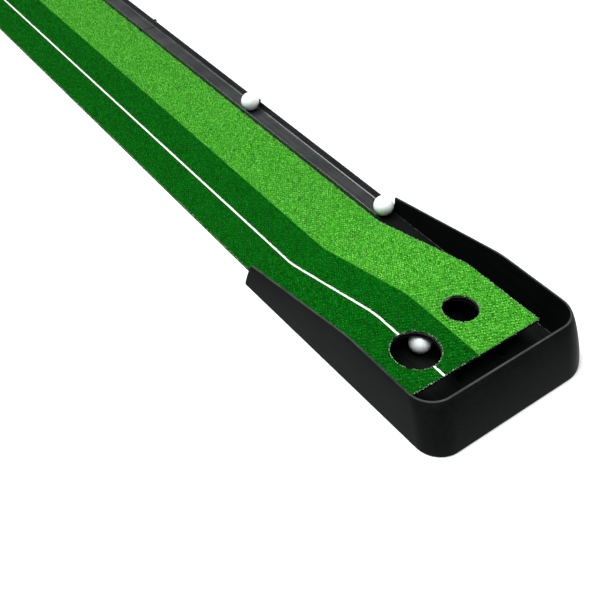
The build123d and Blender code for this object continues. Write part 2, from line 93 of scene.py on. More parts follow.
class NodeBench:
    """A node tree that is being laid out."""

    def __init__(self, tree: bpy.types.NodeTree) -> None:
        """Takes the tree to work on."""
        self.tree = tree

    def put(self, kind: str, sockets: dict | None = None, **settings: object) -> bpy.types.Node:
        """Adds a node.

        Args:
            kind: Node type, without its ShaderNode prefix.
            sockets: Value or socket for each input, by the input's name or number.
            settings: Properties of the node, set before its inputs.

        Returns:
            The new node.
        """
        node = self.tree.nodes.new("ShaderNode" + kind)
        for name, value in settings.items():
            setattr(node, name, value)
        for key, value in (sockets or {}).items():
            if isinstance(value, Socket):
                self.tree.links.new(value, node.inputs[key])
            else:
                node.inputs[key].default_value = value
        return node

    def reckon(self, operation: str, *values: float | Socket) -> Socket:
        """The result of a Math node on the values."""
        return self.put("Math", dict(enumerate(values)), operation=operation).outputs[0]

    def span(
        self, value: Socket, low: float | Socket, high: float, to_low: float = 0.0, to_high: float = 1.0
    ) -> Socket:
        """A value mapped from one range to another and held inside it."""
        return self.put("MapRange", {0: value, 1: low, 2: high, 3: to_low, 4: to_high}).outputs[0]

    def blend(self, share: float | Socket, first: object, second: object, way: str = "MIX") -> Socket:
        """Two colours mixed by a share of the second."""
        node = self.put("Mix", {0: share, 6: first, 7: second}, data_type="RGBA", blend_type=way)
        return node.outputs[2]

    def place(self) -> Socket:
        """The surface point in the piece's own frame, in metres."""
        return self.put("TexCoord").outputs["Object"]

    def stretch(self, vector: Socket, factors: tuple[float, float, float] | Socket) -> Socket:
        """A vector scaled along each axis."""
        return self.put("VectorMath", {0: vector, 1: factors}, operation="MULTIPLY").outputs[0]

    def noise(
        self, vector: Socket, scale: float | Socket, detail: float = 2.0, roughness: float = 0.5
    ) -> Socket:
        """Noise of about 0 to 1 at a scale of cells per metre."""
        sockets = {"Vector": vector, "Scale": scale, "Detail": detail, "Roughness": roughness}
        return self.put("TexNoise", sockets).outputs[0]

    def attribute(self, name: str) -> Socket:
        """A number stored on the mesh."""
        return self.put("Attribute", attribute_name=name).outputs["Fac"]

    def share(self, vector: Socket, axis: str) -> Socket:
        """One axis of a vector."""
        return self.put("SeparateXYZ", {0: vector}).outputs[axis]

    def effect(self, group: bpy.types.NodeTree, **given: object) -> bpy.types.NodeOutputs:
        """The outputs of a shared effect with the given inputs."""
        return self.put("Group", given, node_tree=group).outputs

    def relief(self, height: Socket, distance: float, strength: float) -> Socket:
        """The surface's direction, bumped by a height."""
        bump = {"Height": height, "Distance": distance, "Strength": strength}
        return self.put("Bump", bump).outputs[0]

    def mottled(self, mottle: Socket, first: Colour, second: Colour, low: float = 0.3) -> Socket:
        """Two colours mixed by a mottle, from its low value to the same below one."""
        return self.blend(self.span(mottle, low, 1.0 - low), opaque(first), opaque(second))


class Effects:
    """The shader effects that finishes share, each a node group built once."""

    def __init__(self) -> None:
        """Builds every group."""
        self.grain = self._grain()
        self.edge_wear_and_highlight = self._edge_wear_and_highlight()
        self.dust = self._dust()
        self.streaks = self._streaks()
        self.crest = self._painted_rim_highlight()
        self.joints = self._joints()
        self.yarn = self._yarn()

    @staticmethod
    def _start(name: str, inputs: dict[str, object], outputs: dict[str, str]) -> tuple:
        """Starts a group.

        Args:
            name: Name of the group.
            inputs: Default of each input, a number, a vector or a colour with opacity.
            outputs: Socket type of each output.

        Returns:
            The bench, the group's inputs by name and its output node.
        """
        tree = bpy.data.node_groups.new(name, "ShaderNodeTree")
        kinds = {3: "NodeSocketVector", 4: "NodeSocketColor"}
        for key, value in inputs.items():
            kind = kinds[len(value)] if isinstance(value, tuple) else "NodeSocketFloat"
            tree.interface.new_socket(key, in_out="INPUT", socket_type=kind).default_value = value
        for key, kind in outputs.items():
            tree.interface.new_socket(key, in_out="OUTPUT", socket_type=kind)
        given = tree.nodes.new("NodeGroupInput").outputs
        return NodeBench(tree), given, tree.nodes.new("NodeGroupOutput")

    def _grain(self) -> bpy.types.NodeTree:
        """Fine moulded grain: a height and a slow mottle."""
        bench, given, end = self._start(
            "moulded_grain", {"Pitch": 0.0006}, {"Height": "NodeSocketFloat", "Mottle": "NodeSocketFloat"}
        )
        place = bench.place()
        fine = bench.noise(place, bench.reckon("DIVIDE", 1.0, given["Pitch"]), 3.0, 0.6)
        slow = bench.noise(place, 22.0, 4.0, 0.55)
        bench.tree.links.new(fine, end.inputs["Height"])
        bench.tree.links.new(slow, end.inputs["Mottle"])
        return bench.tree

    def _edge_wear_and_highlight(self) -> bpy.types.NodeTree:
        """Rubbed edges, which also serve the plastics as painted highlights along their edges: a mask that is
        broken up along each edge.
        """
        bench, given, end = self._start(
            "edge_wear_and_highlight", {"Radius": 0.0015, "Amount": 0.5}, {"Mask": "NodeSocketFloat"}
        )
        rounded = bench.put("Bevel", {"Radius": given["Radius"]}, samples=4).outputs[0]
        flat = bench.put("NewGeometry").outputs["Normal"]
        along = bench.put("VectorMath", {0: rounded, 1: flat}, operation="DOT_PRODUCT").outputs["Value"]
        edge = bench.span(bench.reckon("SUBTRACT", 1.0, along), 0.02, 0.22)
        broken = bench.span(bench.noise(bench.place(), 140.0, 4.0, 0.6), 0.36, 0.62)
        mask = bench.reckon("MULTIPLY", bench.reckon("MULTIPLY", edge, broken), given["Amount"])
        bench.tree.links.new(mask, end.inputs["Mask"])
        return bench.tree

    def _dust(self) -> bpy.types.NodeTree:
        """Dust that settles on upward faces in patches."""
        bench, given, end = self._start(
            "settled_dust", {"Amount": 0.2, "Patch": 0.05}, {"Mask": "NodeSocketFloat"}
        )
        normal = bench.share(bench.put("NewGeometry").outputs["Normal"], "Z")
        place = bench.place()
        patch = bench.span(bench.noise(place, bench.reckon("DIVIDE", 1.0, given["Patch"]), 3.0), 0.4, 0.7)
        speck = bench.span(bench.noise(place, 1500.0, 1.0), 0.58, 0.72)
        patches, specks = bench.reckon("MULTIPLY", patch, 0.6), bench.reckon("MULTIPLY", speck, 0.4)
        cover = bench.reckon("ADD", patches, specks)
        mask = bench.reckon("MULTIPLY", bench.span(normal, 0.5, 1.0), cover)
        bench.tree.links.new(bench.reckon("MULTIPLY", mask, given["Amount"]), end.inputs["Mask"])
        return bench.tree

    def _streaks(self) -> bpy.types.NodeTree:
        """Drawn-out marks, as a ball or a die leaves along one direction."""
        bench, given, end = self._start(
            "drawn_streaks", {"Cells": (4.0, 400.0, 400.0), "Share": 0.4}, {"Mask": "NodeSocketFloat"}
        )
        lines = bench.noise(bench.stretch(bench.place(), given["Cells"]), 1.0, 3.0, 0.6)
        gate = bench.reckon("SUBTRACT", 1.0, given["Share"])
        mask = bench.span(lines, bench.reckon("MULTIPLY", gate, 0.7), 0.8)
        bench.tree.links.new(mask, end.inputs["Mask"])
        return bench.tree

    def _painted_rim_highlight(self) -> bpy.types.NodeTree:
        """Painted highlight on level tops above a height: the light line along a rim's top."""
        bench, given, end = self._start(
            "painted_rim_highlight", {"Above": 0.03, "Amount": 0.5}, {"Mask": "NodeSocketFloat"}
        )
        normal = bench.share(bench.put("NewGeometry").outputs["Normal"], "Z")
        place = bench.place()
        high = bench.reckon("GREATER_THAN", bench.share(place, "Z"), given["Above"])
        broken = bench.span(bench.noise(place, 30.0, 3.0, 0.6), 0.25, 0.6, 0.35, 1.0)
        level = bench.reckon("MULTIPLY", bench.span(normal, 0.90, 0.98), high)
        mask = bench.reckon("MULTIPLY", level, broken)
        bench.tree.links.new(bench.reckon("MULTIPLY", mask, given["Amount"]), end.inputs["Mask"])
        return bench.tree

    def _joints(self) -> bpy.types.NodeTree:
        """Painted shade: the dark gap that is seen where lengths of channel meet at an even pitch."""
        bench, given, end = self._start(
            "shaded_joints", {"First": 0.0, "Pitch": 0.5, "Half": 0.001}, {"Mask": "NodeSocketFloat"}
        )
        along = bench.share(bench.place(), "X")
        half_pitch = bench.reckon("MULTIPLY", given["Pitch"], 0.5)
        away = bench.reckon("PINGPONG", bench.reckon("SUBTRACT", along, given["First"]), half_pitch)
        bench.tree.links.new(bench.reckon("LESS_THAN", away, given["Half"]), end.inputs["Mask"])
        return bench.tree

    def _yarn(self) -> bpy.types.NodeTree:
        """Colour of a cut or curled yarn from its root to its tip, tuft by tuft."""
        colour = opaque((0.5, 0.5, 0.5))
        bench, given, end = self._start(
            "tufted_yarn",
            {"Root": colour, "Tip": colour, "Bleached": colour, "Spread": 0.5, "Patchiness": 0.1},
            {"Color": "NodeSocketColor", "Tuft": "NodeSocketFloat"},
        )
        rise, tone = bench.attribute("rise"), bench.attribute("tone")
        # The root colour is painted shade deep in the pile: each blade darkens from tip to root.
        fibre = bench.blend(bench.span(rise, 0.1, 0.9), given["Root"], given["Tip"])
        pale = bench.reckon("MULTIPLY", bench.span(tone, 0.55, 1.0), given["Spread"])
        fibre = bench.blend(bench.reckon("MULTIPLY", pale, rise), fibre, given["Bleached"])
        dark = bench.reckon("MULTIPLY", bench.span(tone, 0.45, 0.0), given["Spread"])
        fibre = bench.blend(dark, fibre, given["Root"])
        place = bench.stretch(bench.place(), (0.5, 1.0, 1.0))
        patch = bench.span(bench.noise(place, 16.0, 3.0, 0.6), 0.3, 0.7)
        shade = bench.reckon("SUBTRACT", 1.0, bench.reckon("MULTIPLY", patch, given["Patchiness"]))
        grey = bench.put("CombineXYZ", {0: shade, 1: shade, 2: shade}).outputs[0]
        bench.tree.links.new(bench.blend(1.0, fibre, grey, "MULTIPLY"), end.inputs["Color"])
        bench.tree.links.new(tone, end.inputs["Tuft"])
        return bench.tree


# ---------------------------------------------------------------- finishes


def blank_material(name: str, **constants: object) -> tuple[bpy.types.Material, bpy.types.Node]:
    """Starts a material.

    Args:
        name: Its name.
        constants: Plain values for the shader's own sockets, with _ for a space.

    Returns:
        The material and its Principled shader.
    """
    material = bpy.data.materials.new(name)
    material.use_nodes = True
    shader = next(node for node in material.node_tree.nodes if node.type == "BSDF_PRINCIPLED")
    for key, value in constants.items():
        shader.inputs[key.replace("_", " ")].default_value = value
    return material, shader


@dataclass(frozen=True)
class Finish:
    """What every finish has: a name and the record's slot that it stands for."""

    name: str
    slot: Slot

    def start(self, **constants: object) -> tuple[bpy.types.Material, NodeBench, bpy.types.Node]:
        """Starts a material.

        Args:
            constants: Plain values for the shader's own sockets, with _ for a space.

        Returns:
            The material, its bench and its Principled shader.
        """
        material, shader = blank_material(self.name, **constants)
        return material, NodeBench(material.node_tree), shader

    @staticmethod
    def fill(bench: NodeBench, shader: bpy.types.Node, **links: Socket) -> None:
        """Links sockets to the shader's inputs, with _ for a space in their names."""
        for key, value in links.items():
            bench.tree.links.new(value, shader.inputs[key.replace("_", " ")])

    def material(self, effects: Effects) -> bpy.types.Material:
        """Builds the finish's material from the shared effects."""
        raise NotImplementedError


@dataclass(frozen=True)
class PlasticFinish(Finish):
    """Satin moulded or extruded plastic with grain, rubbed edges lightened as painted highlights, a painted
    highlight along the rim's top, painted shade at the channel's joints, streaks and dust.
    """

    colour: Colour = (0.0020, 0.0023, 0.0024)
    mottle: float = 1.5  # how much paler the mottle's pale patches are
    # Rubbed colour, far paler than the plastic: the edges that get it carry painted highlights, partly
    # rubbing; it also colours the rim top's painted highlight.
    rubbed: Colour = (0.13, 0.14, 0.14)
    dust_colour: Colour = (0.10, 0.10, 0.095)
    roughness: float = 0.34
    roughness_spread: float = 0.12
    gloss: float = 0.03
    grain_pitch: float = 0.0007
    grain_depth: float = 0.00004
    # Edge wear here is mostly a painted highlight along each edge, partly rubbing.
    wear_and_highlight_radius: float = 0.0020
    wear: float = 1.0
    dust: float = 0.02
    dust_patch: float = 0.06
    streak_cells: tuple[float, float, float] = (5.0, 260.0, 260.0)
    streak_share: float = 0.45
    streak_colour: Colour = (0.012, 0.014, 0.013)
    streaks: float = 0.25
    # Height above which level tops get a painted highlight in the rubbed colour, and its strength.
    highlight_above: float = 0.03
    crest: float = 0.0
    # Width and near-black colour of the painted shade at the channel's joints.
    joint_half: float = 0.0
    joint_shade_colour: Colour = (0.0004, 0.0004, 0.0004)

    def joint_places(self) -> dict[str, float]:
        """Where the channel's joints are and how wide their gap looks."""
        edges = [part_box(f"track_segment_{number}")[0].x for number in (2, 3)]
        return {"First": edges[0], "Pitch": abs(edges[1] - edges[0]), "Half": self.joint_half}

    def material(self, effects: Effects) -> bpy.types.Material:
        """Builds the plastic."""
        material, bench, shader = self.start(IOR=1.47, Specular_IOR_Level=self.gloss)
        grain = bench.effect(effects.grain, Pitch=self.grain_pitch)
        wear = bench.effect(effects.edge_wear_and_highlight, Radius=self.wear_and_highlight_radius, Amount=self.wear)[0]
        dust = bench.effect(effects.dust, Amount=self.dust, Patch=self.dust_patch)[0]
        drawn = bench.effect(effects.streaks, Cells=self.streak_cells, Share=self.streak_share)[0]
        pale = [part * self.mottle for part in self.colour]
        mottled = bench.mottled(grain["Mottle"], self.colour, pale)
        streaks = bench.reckon("MULTIPLY", drawn, self.streaks)
        streaked = bench.blend(streaks, mottled, opaque(self.streak_colour))
        # Edges lightened in the rubbed colour: mostly a painted highlight, partly rubbing.
        worn_with_painted_light = bench.blend(wear, streaked, opaque(self.rubbed))
        # Painted highlight along the rim's level top.
        if self.crest:
            painted_highlight = bench.effect(effects.crest, Above=self.highlight_above, Amount=self.crest)[0]
            worn_with_painted_light = bench.blend(painted_highlight, worn_with_painted_light, opaque(self.rubbed))
        # Painted shade: a near-black band where the channel's lengths meet.
        if self.joint_half:
            gap_shade = bench.effect(effects.joints, **self.joint_places())[0]
            worn_with_painted_light = bench.blend(gap_shade, worn_with_painted_light, opaque(self.joint_shade_colour))
        dusty = bench.blend(dust, worn_with_painted_light, opaque(self.dust_colour))
        rougher = self.roughness + self.roughness_spread
        base = bench.span(grain["Mottle"], 0.3, 0.7, self.roughness, rougher)
        rough = bench.reckon("ADD", base, bench.reckon("MULTIPLY", dust, 0.5))
        relief = bench.reckon("SUBTRACT", grain["Height"], bench.reckon("MULTIPLY", wear, 0.4))
        bump = bench.relief(relief, self.grain_depth, 0.6)
        self.fill(bench, shader, Base_Color=dusty, Roughness=rough, Normal=bump)
        return material


@dataclass(frozen=True)
class YarnFinish(Finish):
    """Tufted yarn, darker towards its roots with painted shade deep in the pile, with bleached tufts and
    darker ones.
    """

    # Root colour, at the blades' roots and over the pile's body: painted shade deep in the pile.
    root: Colour
    tip: Colour
    bleached: Colour
    spread: float = 0.6
    patchiness: float = 0.12
    roughness: float = 0.55
    gloss: float = 0.2
    sheen: float = 0.1
    crimps: float = 2600.0  # to the metre

    def material(self, effects: Effects) -> bpy.types.Material:
        """Builds the yarn."""
        material, bench, shader = self.start(
            Specular_IOR_Level=self.gloss, Sheen_Weight=self.sheen, Sheen_Roughness=0.45
        )
        shader.inputs["Sheen Tint"].default_value = opaque(self.bleached)
        yarn = bench.effect(
            effects.yarn,
            Root=opaque(self.root),
            Tip=opaque(self.tip),
            Bleached=opaque(self.bleached),
            Spread=self.spread,
            Patchiness=self.patchiness,
        )
        crimp = bench.noise(bench.place(), self.crimps, 2.0)
        bump = bench.relief(crimp, 0.0002, 0.5)
        rough = bench.span(yarn["Tuft"], 0.0, 1.0, self.roughness - 0.08, self.roughness + 0.12)
        self.fill(bench, shader, Base_Color=yarn["Color"], Roughness=rough, Normal=bump)
        return material


@dataclass(frozen=True)
class LatexFinish(Finish):
    """Dark latex backing with the threads of its woven scrim showing through."""

    colour: Colour = (0.010, 0.014, 0.011)
    thread: Colour = (0.055, 0.065, 0.055)
    thread_pitch: float = 0.0016
    patch_pitch: float = 0.004

    def material(self, effects: Effects) -> bpy.types.Material:
        """Builds the backing."""
        material, bench, shader = self.start(Specular_IOR_Level=0.3)
        place, cells = bench.place(), 1.0 / self.thread_pitch
        wave = {"Vector": place, "Scale": cells / 6.283, "Distortion": 0.6}
        ridges = [bench.put("TexWave", wave, bands_direction=axis) for axis in ("X", "Y")]
        weave = bench.reckon("MAXIMUM", ridges[0].outputs["Fac"], ridges[1].outputs["Fac"])
        patch = bench.effect(effects.grain, Pitch=self.patch_pitch)
        bare = bench.span(patch["Mottle"], 0.35, 0.65)
        shown = bench.reckon("MULTIPLY", bench.span(weave, 0.55, 0.95), bare)
        colour = bench.blend(shown, opaque(self.colour), opaque(self.thread))
        bump = bench.relief(bench.reckon("ADD", weave, patch["Height"]), 0.00025, 0.7)
        rough = bench.span(patch["Height"], 0.3, 0.7, 0.55, 0.8)
        self.fill(bench, shader, Base_Color=colour, Roughness=rough, Normal=bump)
        return material


@dataclass(frozen=True)
class SteelFinish(Finish):
    """Zinc-plated steel with a passivated bloom."""

    colour: Colour = (0.56, 0.58, 0.60)
    bloom: Colour = (0.44, 0.45, 0.36)
    rubbed: Colour = (0.72, 0.73, 0.74)

    def material(self, effects: Effects) -> bpy.types.Material:
        """Builds the steel."""
        material, bench, shader = self.start(Metallic=1.0)
        grain = bench.effect(effects.grain, Pitch=0.0004)
        wear = bench.effect(effects.edge_wear_and_highlight, Radius=0.0004, Amount=0.8)[0]
        colour = bench.mottled(grain["Mottle"], self.colour, self.bloom, 0.35)
        colour = bench.blend(wear, colour, opaque(self.rubbed))
        bump = bench.relief(grain["Height"], 0.00002, 0.5)
        rough = bench.span(grain["Height"], 0.3, 0.7, 0.28, 0.45)
        self.fill(bench, shader, Base_Color=colour, Roughness=rough, Normal=bump)
        return material


@dataclass(frozen=True)
class SoftFinish(Finish):
    """Rubber or film: a matt surface with grain and picked-up dust."""

    colour: Colour = (0.02, 0.02, 0.02)
    second: Colour = (0.04, 0.04, 0.04)
    pitch: float = 0.0009
    depth: float = 0.0001
    roughness: float = 0.75
    dust: float = 0.3
    dust_colour: Colour = (0.2, 0.2, 0.19)

    def material(self, effects: Effects) -> bpy.types.Material:
        """Builds the rubber or film."""
        material, bench, shader = self.start(Specular_IOR_Level=0.35)
        grain = bench.effect(effects.grain, Pitch=self.pitch)
        dust = bench.effect(effects.dust, Amount=self.dust, Patch=0.01)[0]
        colour = bench.mottled(grain["Mottle"], self.colour, self.second)
        colour = bench.blend(dust, colour, opaque(self.dust_colour))
        bump = bench.relief(grain["Height"], self.depth, 0.6)
        rough = bench.span(grain["Height"], 0.3, 0.7, self.roughness - 0.1, self.roughness + 0.1)
        self.fill(bench, shader, Base_Color=colour, Roughness=rough, Normal=bump)
        return material


@dataclass(frozen=True)
class CoverFinish(Finish):
    """White golf-ball cover under a clear lacquer, with scuffs and turf stains."""

    colour: Colour = (0.80, 0.86, 0.86)
    shade: Colour = (0.70, 0.77, 0.76)
    stain: Colour = (0.45, 0.55, 0.38)
    roughness: float = 0.30
    scuff_cells: tuple[float, float, float] = (60.0, 380.0, 520.0)

    def material(self, effects: Effects) -> bpy.types.Material:
        """Builds the cover."""
        material, bench, shader = self.start(Coat_Weight=0.55, Coat_Roughness=0.12, Subsurface_Weight=0.04)
        shader.inputs["Subsurface Radius"].default_value = (0.002, 0.002, 0.002)
        grain = bench.effect(effects.grain, Pitch=0.0005)
        scuff = bench.effect(effects.streaks, Cells=self.scuff_cells, Share=0.12)[0]
        colour = bench.mottled(grain["Mottle"], self.colour, self.shade)
        colour = bench.blend(bench.reckon("MULTIPLY", scuff, 0.25), colour, opaque(self.stain))
        bump = bench.relief(grain["Height"], 0.00002, 0.3)
        rough = bench.span(scuff, 0.0, 1.0, self.roughness, self.roughness + 0.3)
        self.fill(bench, shader, Base_Color=colour, Roughness=rough, Normal=bump)
        return material


# The tray's crest is a painted highlight along its rim's level top.
TRAY_PLASTIC = PlasticFinish("satin_black_tray", Slot.TRAY, highlight_above=0.036, crest=0.26)
# The deck's rubbed edges, like the tray's, are lightened as painted highlights.
DECK_PLASTIC = PlasticFinish("satin_black_deck", Slot.TRAY)
CHANNEL_PLASTIC = PlasticFinish(
    "extruded_channel_black",
    Slot.CHANNEL,
    colour=(0.009, 0.010, 0.0105),
    # Near-white rubbed colour: a painted highlight along the tops of the channel's walls.
    rubbed=(0.55, 0.57, 0.59),
    streak_colour=(0.045, 0.048, 0.049),
    streaks=0.6,
    roughness=0.20,
    roughness_spread=0.10,
    gloss=0.6,
    # Painted shade at the joints between lengths of channel.
    joint_half=0.0018,
    grain_pitch=0.0011,
    wear_and_highlight_radius=0.0012,
    dust=0.12,
)
SCREW_STEEL = SteelFinish("zinc_plated_steel", Slot.SCREW)
FOOT_RUBBER = SoftFinish("grey_foot_rubber", Slot.FOOT)
ADHESIVE_FILM = SoftFinish(
    "double_sided_film",
    Slot.FILM,
    colour=(0.42, 0.38, 0.28),
    second=(0.5, 0.46, 0.36),
    roughness=0.45,
    dust=0.1,
)
BACKING_LATEX = LatexFinish("black_latex_backing", Slot.LATEX)
# Each yarn's root colour is painted shade deep in the pile, far darker than its tip.
FAST_YARN = YarnFinish(
    "fast_lane_yarn",
    Slot.FAST,
    root=(0.0003, 0.018, 0.0006),
    tip=(0.0020, 0.200, 0.006),
    bleached=(0.012, 0.56, 0.030),
    spread=0.9,
    patchiness=0.04,
    gloss=0.02,
    sheen=0.0,
)
SLOW_YARN = YarnFinish(
    "slow_lane_yarn",
    Slot.SLOW,
    root=(0.003, 0.11, 0.0015),
    tip=(0.120, 0.58, 0.036),
    bleached=(0.38, 0.97, 0.18),
    spread=0.95,
    patchiness=0.04,
    gloss=0.10,
    sheen=0.0,
)
WHITE_YARN = YarnFinish(
    "aim_line_yarn",
    Slot.WHITE,
    root=(0.78, 0.84, 0.74),
    tip=(0.96, 0.97, 0.93),
    bleached=(0.99, 0.99, 0.98),
    spread=0.4,
    patchiness=0.03,
)
FRAYED_YARN = YarnFinish(
    "frayed_edge_yarn",
    Slot.SLOW,
    root=(0.10, 0.22, 0.07),
    tip=(0.50, 0.66, 0.42),
    bleached=(0.92, 0.94, 0.88),
    spread=0.9,
)
BALL_COVER = CoverFinish("lacquered_ball_cover", Slot.COVER)


class Wardrobe:
    """Every finish's material, made the first time it is asked for."""

    def __init__(self) -> None:
        """Builds the shared effects."""
        self.effects = Effects()
        self.made: dict[str, bpy.types.Material] = {}

    def dress(self, piece: bpy.types.Object, finish: Finish) -> None:
        """Gives a piece a finish."""
        if finish.name not in self.made:
            self.made[finish.name] = finish.material(self.effects)
        if not piece.material_slots:
            piece.data.materials.append(None)
        for slot in piece.material_slots:
            slot.material = self.made[finish.name]
        log.info("%s: %s", piece.name, finish.name)


# ---------------------------------------------------------------- meshes


def new_piece(
    name: str, points: np.ndarray, faces: np.ndarray, marks: dict[str, np.ndarray] | None = None
) -> bpy.types.Object:
    """Makes a smooth-shaded mesh object.

    Args:
        name: Name of the piece.
        points: Vertices, one row each.
        faces: Vertex numbers, one row a face, all with as many corners.
        marks: Numbers from 0 to 1 for each vertex, by attribute name.

    Returns:
        The object, linked to the scene.
    """
    mesh = bpy.data.meshes.new(name)
    count, corners = faces.shape
    mesh.vertices.add(len(points))
    mesh.vertices.foreach_set("co", points.astype(np.float32).ravel())
    mesh.loops.add(count * corners)
    mesh.loops.foreach_set("vertex_index", faces.astype(np.int32).ravel())
    mesh.polygons.add(count)
    mesh.polygons.foreach_set("loop_start", np.arange(count, dtype=np.int32) * corners)
    mesh.update(calc_edges=True)
    for key, values in (marks or {}).items():
        mesh.attributes.new(key, "FLOAT", "POINT").data.foreach_set("value", values.astype(np.float32))
    mesh.shade_smooth()
    piece = bpy.data.objects.new(name, mesh)
    bpy.context.scene.collection.objects.link(piece)
    return piece


def lay_out_by_shade(
    piece: bpy.types.Object, faces: np.ndarray, marks: dict[str, np.ndarray], side: np.ndarray
) -> None:
    """Gives yarn a texture map on which a point lies by its rise and its tone.

    Args:
        piece: The yarn's piece.
        faces: Its faces.
        marks: Its rise and tone for each vertex.
        side: -1 to 1 across each blade, for each vertex.
    """
    spots = np.stack([marks["rise"], marks["tone"] * 0.97 + 0.015 + side * 0.01], 1)
    inset = (0.01 + 0.98 * spots.clip(0, 1))[faces.ravel()]
    layer = piece.data.uv_layers.new(name="OFBake", do_init=False)
    layer.uv.foreach_set("vector", inset.astype(np.float32).ravel())


def yarn_piece(name: str, blades: tuple, finish: Finish, wardrobe: Wardrobe) -> bpy.types.Object:
    """Makes, dresses and mounts a piece of yarn.

    Args:
        name: Name of the piece.
        blades: Vertices, triangles, rise, tone and side, as a blade set gives them.
        finish: The yarn's finish.
        wardrobe: Where the finish comes from.

    Returns:
        The piece.
    """
    points, faces, rise, tone, side = blades
    marks = {"rise": rise, "tone": tone}
    piece = new_piece(name, points, faces, marks)
    lay_out_by_shade(piece, faces, marks, side)
    wardrobe.dress(piece, finish)
    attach(piece, Body.MAT.value)
    return piece


# ---------------------------------------------------------------- where things are


@dataclass(frozen=True)
class CupHole:
    """A hole through the turf: its centre along and across the turf, and its radius."""

    along: float
    across: float
    radius: float

    def distance(self, along: np.ndarray, across: np.ndarray) -> np.ndarray:
        """Distance of points from the centre."""
        return np.hypot(along - self.along, across - self.across)


@dataclass(frozen=True)
class TurfPath:
    """The line that the turf's underside follows: floor, ramp and deck."""

    start: float
    foot: float
    crest: float
    end: float
    deck_height: float
    bend_radius: float = 0.150

    @property
    def angle(self) -> float:
        """Slope of the ramp in radians."""
        return math.atan2(self.deck_height, self.crest - self.foot)

    @property
    def lead(self) -> float:
        """How far a bend starts before the corner that it rounds."""
        return self.bend_radius * math.tan(self.angle / 2)

    @property
    def stops(self) -> list[float]:
        """Distances along the path at which its five stretches end."""
        slope = math.hypot(self.deck_height, self.crest - self.foot) - 2 * self.lead
        bend = self.bend_radius * self.angle
        runs = [self.foot - self.start - self.lead, bend, slope, bend, self.end - self.crest - self.lead]
        return list(np.cumsum(runs))

    @property
    def length(self) -> float:
        """Length of the whole path."""
        return self.stops[-1]

    def along_at(self, x: float) -> float:
        """Distance along the path of a place on the level deck."""
        return self.length - (self.end - x)

    def place(self, along: np.ndarray, across: np.ndarray, lift: np.ndarray | float) -> np.ndarray:
        """Points at a height over the turf's underside.

        Args:
            along: Distances along the path.
            across: Y of each point.
            lift: Heights square to the path.

        Returns:
            One row of x, y, z for each point.
        """
        stops, angle, radius = self.stops, self.angle, self.bend_radius
        sin, cos = math.sin(angle), math.cos(angle)
        foot_x, foot_z = self.foot - self.lead + radius * sin, radius * (1 - cos)
        slope = stops[2] - stops[1]
        top_x, top_z = foot_x + slope * cos, foot_z + slope * sin
        up = np.clip((along - stops[0]) / radius, 0, angle)
        down = angle - np.clip((along - stops[2]) / radius, 0, angle)
        climb = along - stops[1]
        where = [along < stops[0], along < stops[1], along < stops[2], along < stops[3]]
        tilt = np.select(where, [0 * up, up, angle + 0 * up, down], 0.0)
        x = np.select(
            where,
            [
                self.start + along,
                self.foot - self.lead + radius * np.sin(up),
                foot_x + climb * cos,
                top_x + radius * (sin - np.sin(down)),
            ],
            self.end - (self.length - along),
        )
        z = np.select(
            where,
            [0 * up, radius * (1 - np.cos(up)), foot_z + climb * sin, top_z + radius * (np.cos(down) - cos)],
            self.deck_height,
        )
        return np.stack([x - lift * np.sin(tilt), across + 0 * x, z + lift * np.cos(tilt)], 1)


@dataclass(frozen=True)
class Layout:
    """Places read from the frame, with the few sizes that its boxes don't give."""

    ramp_lip_run: float = 0.010
    ramp_run: float = 0.250
    backing: float = 0.0015
    turf_hole_gap: float = 0.001
    large_hole: tuple[float, float] = (0.071, 0.044)  # centre from the deck's end, radius
    small_hole: tuple[float, float] = (0.100, 0.033)
    small_hole_from_edge: float = 0.092

    def path(self) -> TurfPath:
        """The turf's path."""
        low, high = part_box("turf_backing")
        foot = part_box("ramp_tray")[0].x + self.ramp_lip_run
        return TurfPath(low.x, foot, foot + self.ramp_run, high.x, high.z - self.backing)

    def holes(self) -> list[CupHole]:
        """The two holes as they are cut in the turf."""
        path, line = self.path(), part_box("aim_line")
        across = [(line[0].y + line[1].y) / 2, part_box("slow_lane_pile")[1].y - self.small_hole_from_edge]
        return [
            CupHole(path.length - from_end, y, radius + self.turf_hole_gap)
            for (from_end, radius), y in zip((self.large_hole, self.small_hole), across)
        ]


# ---------------------------------------------------------------- turf


@dataclass(frozen=True)
class Strip:
    """A strip of the turf between two Y values."""

    low: float
    high: float

    @property
    def width(self) -> float:
        """Width of the strip."""
        return self.high - self.low


